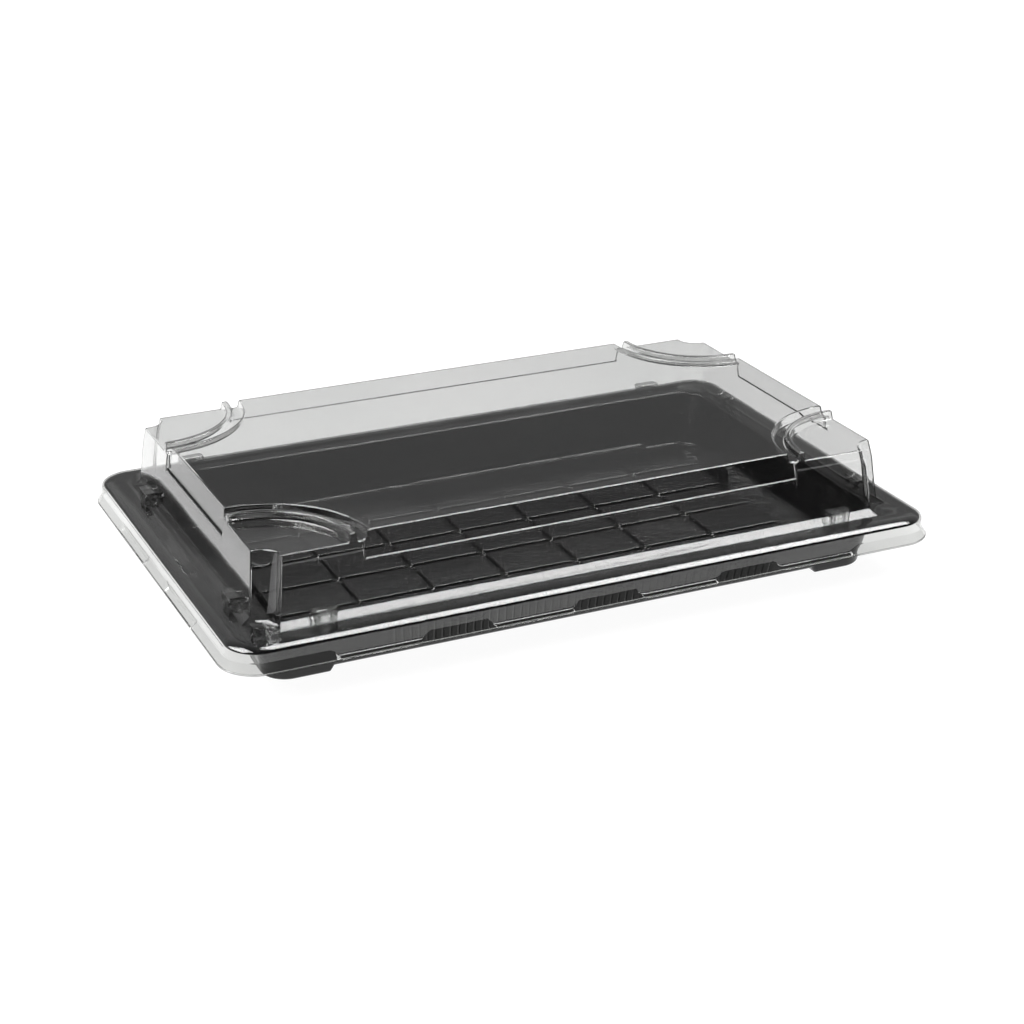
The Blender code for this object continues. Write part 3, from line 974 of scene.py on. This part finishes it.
def addFloor(values):
    bpy.ops.object.select_all(action="DESELECT")
    bpy.ops.mesh.primitive_plane_add(size=12, location=(0, 0, 0))
    floor = bpy.context.object
    floor.name = "floor"
    material, tree, shader, output = newMaterial("floor_white")
    shader.inputs["Roughness"].default_value = 1.0
    shader.inputs["Specular IOR Level"].default_value = 0.0
    shader.inputs["Emission Color"].default_value = (1, 1, 1, 1)
    coords = tree.nodes.new("ShaderNodeTexCoord").outputs["Object"]
    split = tree.nodes.new("ShaderNodeSeparateXYZ")
    tree.links.new(coords, split.inputs[0])
    near = stepMask(tree, split.outputs["Y"], values["darkFrom"] + 0.006, values["darkFrom"])
    far = stepMask(tree, split.outputs["Y"], values["darkTo"], values["darkTo"] + 0.2)
    # painted dark reflection: in the strip, glossy rays see the floor's glow and colour dropped to
    # near black
    path = tree.nodes.new("ShaderNodeLightPath")
    dark = times(tree, times(tree, near, far), path.outputs["Is Glossy Ray"])
    glow = tree.nodes.new("ShaderNodeMapRange")
    glow.inputs[3].default_value = values["floorGlow"]
    glow.inputs[4].default_value = values["darkGlow"]
    tree.links.new(dark, glow.inputs[0])
    tree.links.new(glow.outputs[0], shader.inputs["Emission Strength"])
    tint = tree.nodes.new("ShaderNodeMapRange")
    tint.inputs[3].default_value = values["floorColour"]
    tint.inputs[4].default_value = 0.0
    tree.links.new(dark, tint.inputs[0])
    tree.links.new(tint.outputs[0], shader.inputs["Base Color"])
    wear(floor, material)
    return floor


def addLight(name, place, size, level):
    # an area light that looks at the object; level is its radiance
    light = bpy.data.lights.new(name, "AREA")
    light.shape = "RECTANGLE"
    light.size, light.size_y = size
    light.energy = level * math.pi * size[0] * size[1]
    lamp = bpy.data.objects.new(name, light)
    bpy.context.scene.collection.objects.link(lamp)
    lamp.location = place
    lamp.rotation_euler = (-lamp.location).to_track_quat("-Z", "Y").to_euler()
    lamp.visible_camera = False
    return lamp


def skyRamp(tree, height, stops):
    ramp = tree.nodes.new("ShaderNodeValToRGB")
    tree.links.new(height, ramp.inputs[0])
    while len(ramp.color_ramp.elements) < len(stops):
        ramp.color_ramp.elements.new(0.5)
    for element, (spot, value) in zip(ramp.color_ramp.elements, stops):
        element.position = spot
        element.color = (value, value, value, 1)
    return ramp.outputs["Color"]


def addSky(values):
    world = bpy.data.worlds.new("studio")
    bpy.context.scene.world = world
    world.use_nodes = True
    tree = world.node_tree
    direction = tree.nodes.new("ShaderNodeTexCoord").outputs["Generated"]
    split = tree.nodes.new("ShaderNodeSeparateXYZ")
    tree.links.new(direction, split.inputs[0])
    mix = tree.nodes.new("ShaderNodeMix")
    mix.data_type = "RGBA"
    tree.links.new(stepMask(tree, split.outputs["Y"], -0.25, 0.35), mix.inputs["Factor"])
    tree.links.new(skyRamp(tree, split.outputs["Z"], values["skyFront"]), mix.inputs["A"])
    tree.links.new(skyRamp(tree, split.outputs["Z"], values["skyBack"]), mix.inputs["B"])
    tree.links.new(mix.outputs["Result"], tree.nodes["Background"].inputs["Color"])


lampPlaces = {
    "lampLeft": ((-0.94, 0.24, 1.55), (1.9, 1.2)),
    "lampRight": ((0.86, 0.22, 1.8), (1.7, 1.0)),
}
for name, (place, size) in lampPlaces.items():
    addLight(name, place, size, stageValues["softLevel"])
addSky(stageValues)
floor = addFloor(stageValues)
bpy.context.scene.view_settings.view_transform = "Standard"

camera = bpy.data.cameras.new("camera")
camera.lens = 76.55
camera.sensor_width = 36
camera.clip_start = 0.01
cameraObject = bpy.data.objects.new("camera", camera)
bpy.context.scene.collection.objects.link(cameraObject)
cameraObject.location = (-0.25249, -0.55348, 0.27177)
aim = Vector((0.00137, -0.00239, 0.01296)) - cameraObject.location
cameraObject.rotation_euler = aim.to_track_quat("-Z", "Y").to_euler()
bpy.context.scene.camera = cameraObject

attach(tray, "root")
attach(lid, "root")
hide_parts("base_tray")
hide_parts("lid")
